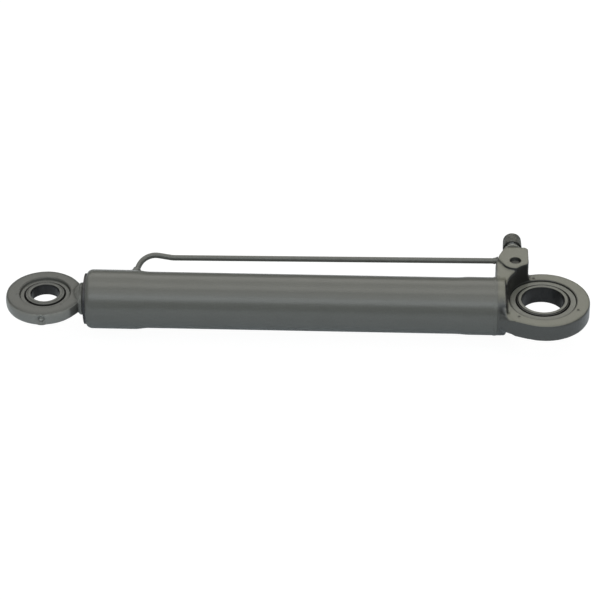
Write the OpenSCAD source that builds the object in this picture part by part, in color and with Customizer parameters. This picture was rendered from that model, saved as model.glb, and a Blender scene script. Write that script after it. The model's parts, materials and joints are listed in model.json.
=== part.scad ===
// Double-acting hydraulic cylinder with a spherical plain bearing in each eye, rod fully in.
// The origin is the centre of the base eye's bearing, on the cylinder's axis.
// +X runs along the cylinder towards the rod eye, +Z runs up along both eye bores,
// and the port lug and the transfer pipe lie on the -Y side. All sizes are in millimetres.

/* [Cylinder] */
// Distance between the two eye centres with the rod fully in
closed_length = 528; // [500:1:700]
// Outer diameter of the barrel tube
barrel_od = 60; // [58:0.5:64]
// Bore of the barrel tube
barrel_id = 50; // [48:0.5:51]
// Diameter of the piston rod
rod_d = 30; // [28:0.5:30]
// How much larger the tube is in radius at its gland end
head_swell = 1.4; // [0.5:0.1:2]
// How much larger the tube is in radius next to the base weld
base_swell = 0.7; // [0.2:0.1:1.5]

/* [Base eye] */
// Outer diameter of the base eye
base_eye_d = 97.2; // [92:0.1:100]
// Thickness of the base eye
base_eye_t = 20; // [18:0.5:24]
// Pin bore of the base eye's bearing
base_pin_d = 45; // [40:0.5:46]
// Outer diameter of the base bearing's outer ring
base_race_od = 71; // [69:0.5:72]
// Diameter of the base bearing's sphere
base_ball_d = 58; // [57:0.5:60]
// Width of the base bearing's inner ring
base_ball_w = 20; // [19:0.5:24]

/* [Rod eye] */
// Outer diameter of the rod eye
rod_eye_d = 82.4; // [78:0.2:84]
// Thickness of the rod eye
rod_eye_t = 15.6; // [14:0.2:17]
// Pin bore of the rod eye's bearing
rod_pin_d = 30; // [26:0.5:31]
// Outer diameter of the rod bearing's outer ring
rod_race_od = 54; // [52:0.5:56]
// Diameter of the rod bearing's sphere
rod_ball_d = 42.5; // [42:0.5:44]
// Width of the rod bearing's inner ring
rod_ball_w = 13.5; // [13:0.5:16]
// Diameter of the rod eye's neck
neck_d = 34.4; // [33:0.2:36]

/* [Ports and pipe] */
// Height of the port lug's shelf above the axis
lug_top = 28; // [26:0.5:29]
// How far the lug reaches behind the axis
lug_reach = 66; // [63:0.5:68]
// Height of the port boss above the shelf
boss_rise = 3.5; // [2:0.5:5]
// Diameter of the port hole
port_d = 11.8; // [10:0.1:13]
// Outer diameter of the transfer pipe
pipe_od = 6; // [5:0.5:7]
// Bore of the transfer pipe
pipe_id = 4; // [3:0.5:4]
// Outer diameter of the port stud's cap
cap_d = 20.5; // [18:0.5:23]

/* [Hidden] */
$fn = 96;

paint = "#6e7068";
dark_steel = "#3a3b3d";
bright_steel = "#8f9194";
bearing_steel = "#77786f";
seal_black = "#1d1d1f";
seal_tan = "#9c8a5c";
hard_chrome = "#c8cbcf";

eps = 0.01;
running_gap = 0.03;
sphere_gap = 0.1;

// Stations along the cylinder
cap_face_x = 37.5;
tube_x = 50;
spigot_x = 60;
head_x = closed_length - 99;
tube_end_x = closed_length - 45;
swell_start_x = head_x - 12;
swell_end_x = head_x + 3;
base_swell_x = 78;
base_swell_end_x = 92;
bore_r = barrel_id / 2;
barrel_r = barrel_od / 2;
head_r = barrel_r + head_swell;
rod_r = rod_d / 2;

// Weld bead between the base forging and the tube
weld_len = 3;
weld_depth = 1.5;
weld_rise = 0.45;

// Rounded end of the tube: how far it reaches along the axis and in towards it
end_round_x = 6.5;
end_round_r = 4.2;

// Piston, and the nut that holds it on the rod's spigot
piston_x = 61;
piston_len = 32;
piston_r = bore_r - 0.1;
rod_spigot_r = 10;
nut_len = 10;
nut_flats = 30;
wear_groove_r = bore_r - 2.1;
wear_w = 5;
wear_at = [2.5, piston_len - 2.5 - wear_w];
seal_groove_r = bore_r - 5.5;
seal_w = 8;
seal_at = (piston_len - seal_w) / 2;
ring_gap = 0.05;

// Gland: a nose inside the bore, a threaded body and a flange on the tube's end
gland_nose_x = head_x - 5;
gland_nose_r = bore_r - 3.5;
gland_body_x = head_x + 11;
gland_thread_x = head_x + 27;
gland_thread_r = bore_r + 1;
gland_face_x = tube_end_x + 2.5;
gland_flange_r = 27;
gland_bore_r = rod_r + 0.4;
oring_x = gland_body_x + 6;
oring_w = 4;
backup_w = 1.6;
oring_groove_r = bore_r - 2.5;
guide_x = gland_body_x + 2;
guide_w = 12;
guide_groove_r = rod_r + 2.5;
rod_seal_x = gland_thread_x + 4;
rod_seal_w = 7;
rod_seal_groove_r = rod_r + 5;
wiper_x = gland_face_x - 7.5;
wiper_groove_r = rod_r + 4;
spanner_hole_r = 1.8;
spanner_pitch_r = 23;
spanner_depth = 6;

// Eyes: each outline's centre lies a little beyond its bore
base_round = 2.2;
base_eye_offset = 1.2;
rod_eye_offset = 0.8;
shoulder_y = 37;
flank_r = 20.3;
race_chamfer = 1.4;
base_race_w = base_eye_t - 2;
rod_race_w = rod_eye_t - 3;
rod_round = 2.8;
ball_chamfer = 1;
wall_r = base_race_od / 2 + 1;
wall_draft = 1.9;
cap_draft = 3;
root_r = 4;
neck_x = closed_length - 40.5;
flare_x = neck_x + 2;
flare_end_x = closed_length - rod_race_od / 2 - 1.6;
punch_r = 1.7;
base_punch_ring_r = base_race_od / 2 + 4.6;
rod_punch_ring_r = rod_race_od / 2 + 3;
base_punch_angles = [50, 155, 283];
rod_punch_angles = [9, 131, 251];
nipple_spot_r = 6;
nipple_spot_y = rod_eye_d / 2 - 1.3;

// Port lug: outline in plan, and the port boss on top of it
lug_x0 = 14.8;
lug_x1 = 50;
lug_corner_y = -46;
lug_back_x = 40;
lug_chamfer = 3;
boss_x = 29;
boss_y = -40.8;
boss_r = 14.4;
boss_corner_x = 48.5;
boss_top = lug_top + boss_rise;
port_floor_z = 12;
plug_recess = 4;
plug_len = 8;
dish_r = 12;
dish_depth = 0.8;
oil_r = 2.5;
oil_z = 14;
oil_exit = [52, -12, 12];

// Port stud on the back of the lug, and its cap
stud_x = 31.5;
stud_z = 24;
stud_r = 6.5;
stud_bore_r = 3.4;
stud_in = 12;
stud_out = 18;
washer_r = 9.5;
washer_t = 2;
cap_gap = 7;
cap_len = 17.6;
cap_round = 3;
cap_clearance = 0.08;

// Transfer pipe: it lies in one plane through the cylinder's axis, tilted back from +Z.
// Its course starts in the tube's wall; headings are measured from straight outwards
// towards the base eye.
pipe_tilt = 61.5;
pipe_r = pipe_od / 2;
pipe_foot_x = head_x + 6;
pipe_foot_r = barrel_r - 2;
riser_heading = 20;
dip_heading = 99;
run_heading = 89.45;
riser_len = 13.6;
elbow_r = 18.7;
dip_len = 13;
dip_bend_r = 30;
seam_len = 0.6;
seam_proud = 0.02;
pipe_end_x = 46.5;
dip_end_x = pipe_foot_x - riser_len * sin(riser_heading)
    - elbow_r * (cos(riser_heading) - cos(dip_heading))
    - dip_len * sin(dip_heading) - dip_bend_r * (cos(run_heading) - cos(dip_heading));
dip_end_r = pipe_foot_r + riser_len * cos(riser_heading)
    + elbow_r * (sin(dip_heading) - sin(riser_heading))
    + dip_len * cos(dip_heading) - dip_bend_r * (sin(run_heading) - sin(dip_heading));
run_len = (dip_end_x - pipe_end_x) / sin(run_heading);
run_end_r = dip_end_r + run_len * cos(run_heading);
lug_pipe_y = -run_end_r * sin(pipe_tilt);
lug_pipe_z = run_end_r * cos(pipe_tilt);

// Places its children with their Z axis along the cylinder, starting at x
module along_x(x) {
    translate([x, 0, 0])
        rotate([0, 90, 0])
            children();
}

// Round bar along the cylinder between two stations
module bar_x(x0, x1, r) {
    along_x(x0)
        cylinder(r = r, h = x1 - x0);
}

// Flat ring along the cylinder between two stations
module ring_x(x0, x1, r_in, r_out) {
    along_x(x0)
        difference() {
            cylinder(r = r_out, h = x1 - x0);
            translate([0, 0, -1])
                cylinder(r = r_in, h = x1 - x0 + 2);
        }
}

// Disc about +Z with rounded rims, centred on the origin
module rounded_disc(r, t, round_r) {
    rotate_extrude() {
        translate([0, -t / 2])
            square([r - round_r, t]);
        translate([0, -t / 2 + round_r])
            square([r, t - 2 * round_r]);
        for (side = [-1, 1])
            translate([r - round_r, side * (t / 2 - round_r)])
                circle(r = round_r);
    }
}

// Shoulder that leaves the base eye's round end along the tangent and meets the collar's face
module eye_shoulder() {
    r = base_eye_d / 2;
    corner = [cap_face_x + 1 + base_eye_offset, shoulder_y];
    touch = atan2(corner.y, corner.x) + acos(r / norm(corner));
    translate([-base_eye_offset, 0, 0])
        linear_extrude(height = base_eye_t, center = true)
            polygon([[5, 5], r * [cos(touch), sin(touch)], corner, [corner.x, 5]]);
}

// Raw flank of the collar that swells from the tube's edge to the shoulder
module collar_flank() {
    length = tube_x - 1 - cap_face_x;
    translate([cap_face_x, shoulder_y - flank_r, 0])
        rotate([0, 90, 0])
            cylinder(r1 = flank_r, r2 = flank_r - (shoulder_y - barrel_r - base_swell + 0.6), h = length);
}

// Collar behind the tube; its face is drafted above and below the eye
module base_collar() {
    difference() {
        union() {
            bar_x(cap_face_x, tube_x - 1, barrel_r + base_swell);
            for (side = [0, 1])
                mirror([0, side, 0])
                    collar_flank();
        }
        for (side = [0, 1])
            mirror([0, 0, side])
                rotate([90, 0, 0])
                    linear_extrude(height = 2 * barrel_od, center = true)
                        polygon([
                            [0, base_eye_t / 2], [cap_face_x, base_eye_t / 2],
                            [cap_face_x + cap_draft, barrel_r + 2], [0, barrel_r + 2]
                        ]);
    }
}

// Fillet between the lug's side and the top of the eye
module lug_root() {
    intersection() {
        translate([-base_eye_offset, 0, 0])
            cylinder(r = base_eye_d / 2 - base_round, h = base_eye_t);
        translate([lug_x0, 0, base_eye_t / 2])
            rotate([90, 0, 0])
                linear_extrude(height = base_eye_d)
                    polygon(concat(
                        [[1, root_r], [1, -1], [-root_r, -1]],
                        [for (i = [0:6]) [-root_r * (1 - sin(15 * i)), root_r * (1 - cos(15 * i))]]
                    ));
    }
}

// Outer ring of a spherical bearing, centred on the origin
module bearing_race(od, w, ball_d) {
    seat_r = sqrt(pow(ball_d / 2, 2) - pow(w / 2, 2));
    difference() {
        cylinder(r = od / 2, h = w, center = true);
        sphere(r = ball_d / 2);
        for (side = [0, 180])
            rotate([side, 0, 0])
                translate([0, 0, w / 2 - race_chamfer])
                    cylinder(r1 = seat_r - 0.2, r2 = seat_r + race_chamfer, h = race_chamfer + eps);
    }
}

// Inner ring of a spherical bearing, centred on the origin
module bearing_ball(ball_d, w, bore_d) {
    r = ball_d / 2 - sphere_gap;
    face_r = sqrt(r * r - pow(w / 2, 2));
    difference() {
        intersection() {
            sphere(r = r);
            cylinder(r = r + 1, h = w, center = true);
        }
        cylinder(r = bore_d / 2, h = w + 2, center = true);
        for (side = [0, 180])
            rotate([side, 0, 0])
                translate([0, 0, w / 2 - ball_chamfer])
                    difference() {
                        cylinder(r = face_r + 3, h = ball_chamfer + 1);
                        translate([0, 0, -eps])
                            cylinder(r1 = face_r, r2 = face_r - ball_chamfer, h = ball_chamfer + 2 * eps);
                        translate([0, 0, ball_chamfer])
                            cylinder(r = face_r - ball_chamfer, h = 2);
                    }
    }
}

// Staking marks punched into both faces of an eye
module punch_marks(angles, ring_r, t) {
    for (a = angles, side = [-1, 1])
        rotate([0, 0, a])
            translate([ring_r, 0, side * (t / 2 + 0.6)])
                sphere(r = punch_r);
}

// Lug in plan, before the bearing's clearance is cut
module lug_plan() {
    polygon([
        [lug_x1, 0], [lug_x1, lug_corner_y], [lug_back_x, -lug_reach],
        [lug_x0 + lug_chamfer, -lug_reach], [lug_x0, -lug_reach + lug_chamfer], [lug_x0, 0]
    ]);
}

// Port boss in plan: a round nose that widens towards the back of the lug
module boss_plan() {
    corner = [boss_corner_x - boss_x, lug_corner_y - boss_y];
    touch = atan2(corner.y, corner.x) + acos(boss_r / norm(corner));
    translate([boss_x, boss_y])
        circle(r = boss_r);
    polygon([
        [boss_x, boss_y],
        [boss_x + boss_r * cos(touch), boss_y + boss_r * sin(touch)],
        [boss_corner_x, lug_corner_y], [lug_back_x, -lug_reach],
        [lug_x0 + lug_chamfer, -lug_reach], [lug_x0, -lug_reach + lug_chamfer], [lug_x0, boss_y]
    ]);
}

// Round hole from one point to another
module drilling(from, to, r) {
    run = to - from;
    len = norm(run);
    translate(from)
        rotate([0, acos(run.z / len), atan2(run.y, run.x)])
            cylinder(r = r, h = len);
}

module base_forging() {
    color(paint)
        difference() {
            union() {
                translate([-base_eye_offset, 0, 0])
                    rounded_disc(base_eye_d / 2, base_eye_t, base_round);
                for (side = [0, 1])
                    mirror([0, side, 0])
                        eye_shoulder();
                base_collar();
                lug_root();
                bar_x(tube_x - 2, spigot_x, bore_r - 0.05);
                linear_extrude(height = lug_top)
                    lug_plan();
                linear_extrude(height = boss_top)
                    boss_plan();
            }
            // Seat of the bearing, and the clearance cut above and below the eye's faces
            cylinder(r = base_race_od / 2, h = base_eye_t + 2, center = true);
            translate([0, 0, base_eye_t / 2])
                cylinder(r1 = wall_r, r2 = wall_r + wall_draft, h = boss_top - base_eye_t / 2 + 1);
            punch_marks(base_punch_angles, base_punch_ring_r, base_eye_t);
            // Room for the weld bead, and the pocket for the piston nut
            ring_x(tube_x - 1, tube_x + 3, bore_r - 0.05, barrel_r + base_swell + weld_rise + 0.1);
            bar_x(tube_x - 1, spigot_x + 1, nut_flats / 2 / cos(30) + 1.7);
            // Vertical port and its oil way into the barrel
            translate([boss_x, boss_y, port_floor_z])
                cylinder(r = port_d / 2, h = boss_top);
            drilling([boss_x, boss_y, oil_z], oil_exit, oil_r);
            // Stud hole, and the oil way from it to the transfer pipe
            translate([stud_x, -lug_reach - 1, stud_z])
                rotate([-90, 0, 0])
                    cylinder(r = stud_r, h = stud_in + 1);
            drilling([stud_x, -lug_reach, stud_z], [stud_x, lug_pipe_y, stud_z], pipe_id / 2);
            drilling([stud_x, lug_pipe_y, lug_pipe_z], [lug_x1 + 1, lug_pipe_y, lug_pipe_z], pipe_id / 2);
            pipe_course(pipe_r, 0);
        }
}

// Outside of the barrel tube as a solid of revolution, from its weld to its rounded end
module tube_outer() {
    base_blend = [for (i = [0:6])
        let (t = i / 6)
        [barrel_r + base_swell * (1 + cos(180 * t)) / 2, base_swell_x + t * (base_swell_end_x - base_swell_x)]];
    head_blend = [for (i = [0:6])
        let (t = i / 6)
        [barrel_r + head_swell * (1 - cos(180 * t)) / 2, swell_start_x + t * (swell_end_x - swell_start_x)]];
    end_curve = [for (i = [0:8])
        let (a = 90 * i / 8)
        [head_r - end_round_r * (1 - cos(a)), tube_end_x - end_round_x * (1 - sin(a))]];
    along_x(0)
        rotate_extrude()
            polygon(concat(
                [[0, tube_x], [barrel_r + base_swell, tube_x]], base_blend, head_blend, end_curve, [[0, tube_end_x]]
            ));
}

module barrel_tube() {
    color(paint)
        difference() {
            tube_outer();
            bar_x(tube_x - 1, tube_end_x + 1, bore_r);
            bar_x(gland_thread_x, tube_end_x + 1, gland_thread_r);
            pipe_course(pipe_r, 0);
            pipe_course(pipe_id / 2, 6);
            ring_x(tube_x - 1, tube_x - 1 + weld_len, barrel_r - weld_depth, barrel_r + 2);
        }
}

// Weld bead that joins the tube to the base forging
module base_weld() {
    color(paint)
        along_x(0)
            rotate_extrude()
                polygon(concat(
                    [[barrel_r - weld_depth, tube_x - 1 + weld_len], [barrel_r - weld_depth, tube_x - 1]],
                    [for (i = [0:8])
                        let (t = i / 8)
                        [barrel_r + base_swell + weld_rise * sin(180 * t), tube_x - 1 + weld_len * t]]
                ));
}

// Solid course of the transfer pipe; its start is pulled back by extra along the riser
module pipe_course(r, extra) {
    rotate([pipe_tilt, 0, 0])
        translate([pipe_foot_x, 0, pipe_foot_r])
            rotate([0, -riser_heading, 0]) {
                translate([0, 0, -extra])
                    cylinder(r = r, h = riser_len + extra);
                translate([0, 0, riser_len])
                    pipe_bend(r, elbow_r, dip_heading - riser_heading)
                        pipe_dip(r);
            }
}

// Straight dip after the elbow, the small bend back and the long run to the lug
module pipe_dip(r) {
    cylinder(r = r, h = dip_len);
    translate([0, 0, dip_len])
        rotate([0, 0, 180])
            pipe_bend(r, dip_bend_r, dip_heading - run_heading)
                cylinder(r = r, h = run_len);
}

// Thin sleeve that closes the seam between a straight stretch and a bend
module pipe_seam(r) {
    translate([0, 0, -seam_len / 2])
        cylinder(r = r + seam_proud, h = seam_len);
}

// Bend that starts along +Z and turns towards -X, with its children at its far end
module pipe_bend(r, bend_r, angle) {
    pipe_seam(r);
    translate([-bend_r, 0, 0])
        rotate([90, 0, 0])
            rotate_extrude(angle = angle)
                translate([bend_r, 0])
                    circle(r = r);
    translate([-bend_r + bend_r * cos(angle), 0, bend_r * sin(angle)])
        rotate([0, -angle, 0]) {
            pipe_seam(r);
            children();
        }
}

module transfer_pipe() {
    color(paint)
        difference() {
            pipe_course(pipe_r, 0);
            pipe_course(pipe_id / 2, 1);
        }
}

// Flared fillet of weld metal round a pipe: foot radius, height and pipe radius
module weld_flare(foot_r, h, r) {
    rotate_extrude()
        polygon(concat(
            [[r, -3], [foot_r, -3]],
            [for (i = [0:8])
                let (a = 90 * i / 8)
                [foot_r - (foot_r - r - 0.3) * sin(a), h * (1 - cos(a))]],
            [[r, h]]
        ));
}

module pipe_foot_weld() {
    color(paint)
        difference() {
            rotate([pipe_tilt, 0, 0])
                translate([pipe_foot_x, 0, pipe_foot_r])
                    rotate([0, -riser_heading, 0])
                        translate([0, 0, 2.4])
                            weld_flare(7, 6.5, pipe_r);
            tube_outer();
        }
}

module pipe_lug_weld() {
    color(paint)
        difference() {
            translate([lug_x1 - 2, lug_pipe_y, lug_pipe_z])
                rotate([0, 90, 0])
                    weld_flare(5, 4.5, pipe_r - 0.05);
            linear_extrude(height = boss_top)
                lug_plan();
            linear_extrude(height = boss_top)
                boss_plan();
            pipe_course(pipe_r, 0);
        }
}

module gland() {
    color(dark_steel)
        difference() {
            union() {
                bar_x(gland_nose_x, gland_face_x, gland_nose_r);
                bar_x(gland_body_x, gland_face_x, bore_r - running_gap);
                bar_x(gland_thread_x + 0.5, gland_face_x, gland_thread_r);
                bar_x(tube_end_x, gland_face_x, gland_flange_r);
            }
            bar_x(gland_nose_x - 1, gland_face_x + 1, gland_bore_r);
            bar_x(guide_x, guide_x + guide_w, guide_groove_r);
            bar_x(rod_seal_x, rod_seal_x + rod_seal_w, rod_seal_groove_r);
            bar_x(wiper_x, gland_face_x + 1, wiper_groove_r);
            ring_x(oring_x, oring_x + oring_w + backup_w, oring_groove_r, bore_r + 2);
            // Oil ways through the nose, and holes for a pin spanner
            for (a = [0:90:270])
                rotate([a, 0, 0]) {
                    translate([pipe_foot_x, 0, 0])
                        cylinder(r = pipe_id / 2, h = bore_r);
                    translate([gland_face_x - spanner_depth, 0, spanner_pitch_r])
                        rotate([0, 90, 0])
                            cylinder(r = spanner_hole_r, h = spanner_depth + 1);
                }
        }
}

module gland_oring() {
    color(seal_black)
        ring_x(oring_x, oring_x + oring_w, oring_groove_r, bore_r);
}

module gland_backup_ring() {
    color(seal_tan)
        ring_x(oring_x + oring_w, oring_x + oring_w + backup_w, oring_groove_r, bore_r);
}

module rod_guide_ring() {
    color(seal_tan)
        ring_x(guide_x, guide_x + guide_w, rod_r + running_gap, guide_groove_r);
}

module rod_seal() {
    color(seal_black)
        ring_x(rod_seal_x, rod_seal_x + rod_seal_w, rod_r + running_gap, rod_seal_groove_r);
}

// Wiper: a body in the gland's groove and a lip that closes on the rod
module rod_wiper() {
    color(seal_black)
        along_x(0)
            rotate_extrude()
                polygon([
                    [rod_r + 1.6, wiper_x], [wiper_groove_r, wiper_x], [wiper_groove_r, gland_face_x - 1],
                    [rod_r + 2, gland_face_x - 0.4], [rod_r + running_gap, gland_face_x],
                    [rod_r + running_gap, gland_face_x - 1.5]
                ]);
}

module base_bearing_race() {
    color(bearing_steel)
        bearing_race(base_race_od, base_race_w, base_ball_d);
}

module base_bearing_ball() {
    color(bearing_steel)
        bearing_ball(base_ball_d, base_ball_w, base_pin_d);
}

// Hollow threaded stud on the back of the lug, pointing to -Y
module port_stud() {
    color(bright_steel)
        translate([stud_x, -lug_reach + stud_in, stud_z])
            rotate([90, 0, 0])
                difference() {
                    cylinder(r = stud_r, h = stud_in + stud_out);
                    translate([0, 0, -1])
                        cylinder(r = stud_bore_r, h = stud_in + stud_out + 2);
                }
}

module stud_seal() {
    color(bright_steel)
        translate([stud_x, -lug_reach, stud_z])
            rotate([90, 0, 0])
                difference() {
                    cylinder(r = washer_r, h = washer_t);
                    translate([0, 0, -1])
                        cylinder(r = stud_r, h = washer_t + 2);
                }
}

// Domed screw cap over the stud's end
module port_cap() {
    color(paint)
        translate([stud_x, -lug_reach - cap_gap, stud_z])
            rotate([90, 0, 0])
                difference() {
                    rotate_extrude() {
                        square([cap_d / 2, cap_len - cap_round]);
                        square([cap_d / 2 - cap_round, cap_len]);
                        intersection() {
                            translate([cap_d / 2 - cap_round, cap_len - cap_round])
                                circle(r = cap_round);
                            square([cap_d / 2, cap_len]);
                        }
                    }
                    translate([0, 0, -1])
                        cylinder(r = stud_r + cap_clearance, h = stud_out - cap_gap + 1.6);
                }
}

// Recessed transit plug in the vertical port, with a dished face
module port_plug() {
    color(dark_steel)
        translate([boss_x, boss_y, boss_top - plug_recess - plug_len])
            difference() {
                cylinder(r = port_d / 2, h = plug_len);
                translate([0, 0, plug_len - dish_depth + dish_r])
                    sphere(r = dish_r);
            }
}

module rod() {
    color(hard_chrome)
        union() {
            bar_x(piston_x - nut_len - 0.5, piston_x + piston_len + eps, rod_spigot_r);
            bar_x(piston_x + piston_len, neck_x, rod_r);
        }
}

module rod_eye() {
    flare = [for (i = [0:8])
        let (t = i / 8)
        [neck_d / 2 - (neck_d - rod_eye_t + 2) / 2 * (1 - cos(180 * t)) / 2, flare_x + t * (flare_end_x - flare_x)]];
    color(paint)
        difference() {
            union() {
                translate([closed_length + rod_eye_offset, 0, 0])
                    rounded_disc(rod_eye_d / 2, rod_eye_t, rod_round);
                along_x(0)
                    rotate_extrude()
                        polygon(concat([[0, neck_x], [neck_d / 2, neck_x]], flare, [[0, flare_end_x]]));
            }
            bar_x(neck_x - 5, neck_x, neck_d / 2);
            translate([closed_length, 0, 0]) {
                cylinder(r = rod_race_od / 2, h = rod_eye_t + 2, center = true);
                punch_marks(rod_punch_angles, rod_punch_ring_r, rod_eye_t);
                // Spot face and hole of the grease nipple
                translate([0, nipple_spot_y, 0])
                    rotate([-90, 0, 0])
                        cylinder(r = nipple_spot_r, h = 5);
                translate([0, rod_race_od / 2 - 2, 0])
                    rotate([-90, 0, 0])
                        cylinder(r = 3, h = rod_eye_d / 2);
            }
        }
}

// Weld bead between the rod and the rod eye's neck
module rod_eye_weld() {
    color(paint)
        along_x(0)
            rotate_extrude()
                polygon(concat(
                    [[rod_r, neck_x]],
                    [for (i = [0:6])
                        let (a = 90 * i / 6)
                        [rod_r + (neck_d / 2 - rod_r) * cos(a), neck_x - 0.9 * sin(a)]]
                ));
}

module piston() {
    color(dark_steel)
        difference() {
            bar_x(piston_x, piston_x + piston_len, piston_r);
            bar_x(piston_x - 1, piston_x + piston_len + 1, rod_spigot_r);
            for (x = wear_at)
                ring_x(piston_x + x, piston_x + x + wear_w, wear_groove_r, bore_r + 1);
            ring_x(piston_x + seal_at, piston_x + seal_at + seal_w, seal_groove_r, bore_r + 1);
            bar_x(piston_x + seal_at, piston_x + seal_at + 4, rod_spigot_r + 2.4);
        }
}

module piston_nut() {
    color(bright_steel)
        along_x(piston_x - nut_len)
            difference() {
                cylinder(r = nut_flats / 2 / cos(30), h = nut_len, $fn = 6);
                translate([0, 0, -1])
                    cylinder(r = rod_spigot_r, h = nut_len + 2);
            }
}

module piston_oring() {
    color(seal_black)
        ring_x(piston_x + seal_at, piston_x + seal_at + 4, rod_spigot_r, rod_spigot_r + 2.4);
}

module piston_seal() {
    color(seal_black)
        ring_x(piston_x + seal_at + ring_gap, piston_x + seal_at + seal_w - ring_gap,
            seal_groove_r + running_gap, bore_r - running_gap);
}

module piston_wear_rings() {
    color(seal_tan)
        for (x = wear_at)
            ring_x(piston_x + x + ring_gap, piston_x + x + wear_w - ring_gap,
                wear_groove_r + running_gap, bore_r - running_gap);
}

module rod_bearing_race() {
    color(bearing_steel)
        translate([closed_length, 0, 0])
            bearing_race(rod_race_od, rod_race_w, rod_ball_d);
}

module rod_bearing_ball() {
    color(bearing_steel)
        translate([closed_length, 0, 0])
            bearing_ball(rod_ball_d, rod_ball_w, rod_pin_d);
}

// Flush grease nipple in the rod eye's rim, pointing to +Y
module grease_nipple() {
    color(bright_steel)
        translate([closed_length, rod_race_od / 2 + 1, 0])
            rotate([-90, 0, 0])
                difference() {
                    cylinder(r = 3, h = nipple_spot_y - rod_race_od / 2 - 0.2);
                    translate([0, 0, nipple_spot_y - rod_race_od / 2 - 1])
                        sphere(r = 1.2);
                }
}

base_forging();
barrel_tube();
base_weld();
transfer_pipe();
pipe_foot_weld();
pipe_lug_weld();
gland();
gland_oring();
gland_backup_ring();
rod_guide_ring();
rod_seal();
rod_wiper();
base_bearing_race();
base_bearing_ball();
port_stud();
stud_seal();
port_plug();
port_cap();
rod();
rod_eye();
rod_eye_weld();
piston();
piston_nut();
piston_oring();
piston_seal();
piston_wear_rings();
rod_bearing_race();
rod_bearing_ball();
grease_nipple();
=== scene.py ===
"""Looks for a double-acting hydraulic cylinder with a spherical bearing in each eye.

Lengths are in metres, in the CAD's frame: the origin is the centre of the base eye's bearing,
+X runs along the cylinder to the rod eye, and +Z runs up along both eye bores.
"""

import json
import math

import bmesh
import bpy
import numpy as np
from mathutils import Matrix, Vector, noise


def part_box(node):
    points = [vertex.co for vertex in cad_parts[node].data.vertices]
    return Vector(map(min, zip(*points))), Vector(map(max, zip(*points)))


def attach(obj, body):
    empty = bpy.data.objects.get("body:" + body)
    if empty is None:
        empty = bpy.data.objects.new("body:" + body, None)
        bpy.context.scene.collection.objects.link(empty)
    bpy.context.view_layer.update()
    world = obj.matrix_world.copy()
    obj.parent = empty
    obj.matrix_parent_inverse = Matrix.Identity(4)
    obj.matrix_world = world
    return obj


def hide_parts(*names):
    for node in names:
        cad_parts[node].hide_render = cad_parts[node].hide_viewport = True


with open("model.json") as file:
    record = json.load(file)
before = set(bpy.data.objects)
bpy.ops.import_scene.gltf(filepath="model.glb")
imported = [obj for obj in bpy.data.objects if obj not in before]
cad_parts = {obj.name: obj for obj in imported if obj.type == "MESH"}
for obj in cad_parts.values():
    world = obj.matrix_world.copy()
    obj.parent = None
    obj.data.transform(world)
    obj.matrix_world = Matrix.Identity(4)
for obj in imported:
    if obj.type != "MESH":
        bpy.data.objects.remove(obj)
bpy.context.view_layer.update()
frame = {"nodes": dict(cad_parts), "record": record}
nodes = frame["nodes"]
mounts = {m["name"]: m for m in frame["record"]["mounts"]}

MM = 0.001
TURN = 2 * math.pi
UP = Matrix.Identity(4)
TOWARDS_X = Matrix.Rotation(TURN / 4, 4, "Y")
TOWARDS_Y = Matrix.Rotation(-TURN / 4, 4, "X")
TOWARDS_MINUS_Y = Matrix.Rotation(TURN / 4, 4, "X")

# Camera: the photograph's own angle
CAMERA_AZIMUTH = 182.71
CAMERA_ELEVATION = 35.61
CAMERA_DISTANCE = 2.8708
CAMERA_TARGET = Vector((0.2567, 0.0, 0.0034))
CAMERA_LENS = 162.5
CAMERA_ROLL = 0.5
SENSOR_WIDTH_MM = 36.0

# Studio: lengths in metres, and how white the floor glows
SOFTBOX_DISTANCE = 2.2
SOFTBOX_WIDTH = 3.6
FLOOR_HALF_SIDE = 8.0
FLOOR_GLOW = 0.95

# Places and sizes read from the frame
ROD_EYE = Vector(mounts["rod_pin_bore"]["pos_m"])
BASE_EYE = Vector(mounts["base_pin_bore"]["pos_m"])
BASE_PIN_R = mounts["base_pin_bore"]["dims"]["r_mm"] * MM
ROD_PIN_R = mounts["rod_pin_bore"]["dims"]["r_mm"] * MM
PORT = Vector(mounts["cap_end_port"]["pos_m"])


def half_width(node, axis):
    """Half of a CAD node's width along an axis."""
    low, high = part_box(node)
    return (high[axis] - low[axis]) / 2


def middle(node):
    """Centre of a CAD node's box."""
    low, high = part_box(node)
    return (low + high) / 2


# --- Camera, light and floor ---------------------------------------------------------------


def direction(azimuth, elevation):
    """Unit vector from the object towards a place at this azimuth and elevation, in degrees."""
    az, el = math.radians(azimuth), math.radians(elevation)
    return Vector((math.sin(az) * math.cos(el), -math.cos(az) * math.cos(el), math.sin(el)))


def make_camera():
    """Camera on the target from the photograph's side, rolled a little about its own view."""
    back = direction(CAMERA_AZIMUTH, CAMERA_ELEVATION)
    az, roll = math.radians(CAMERA_AZIMUTH), math.radians(CAMERA_ROLL)
    right = Vector((math.cos(az), math.sin(az), 0.0))
    up = back.cross(right)
    rolled_right = right * math.cos(roll) - up * math.sin(roll)
    rolled_up = up * math.cos(roll) + right * math.sin(roll)
    place = Matrix((rolled_right, rolled_up, back)).transposed().to_4x4()
    place.translation = CAMERA_TARGET + back * CAMERA_DISTANCE
    data = bpy.data.cameras.new("camera")
    data.lens = CAMERA_LENS
    data.sensor_width = SENSOR_WIDTH_MM
    data.clip_end = 20.0
    camera = bpy.data.objects.new("camera", data)
    camera.matrix_world = place
    bpy.context.scene.collection.objects.link(camera)
    bpy.context.scene.camera = camera


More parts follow.
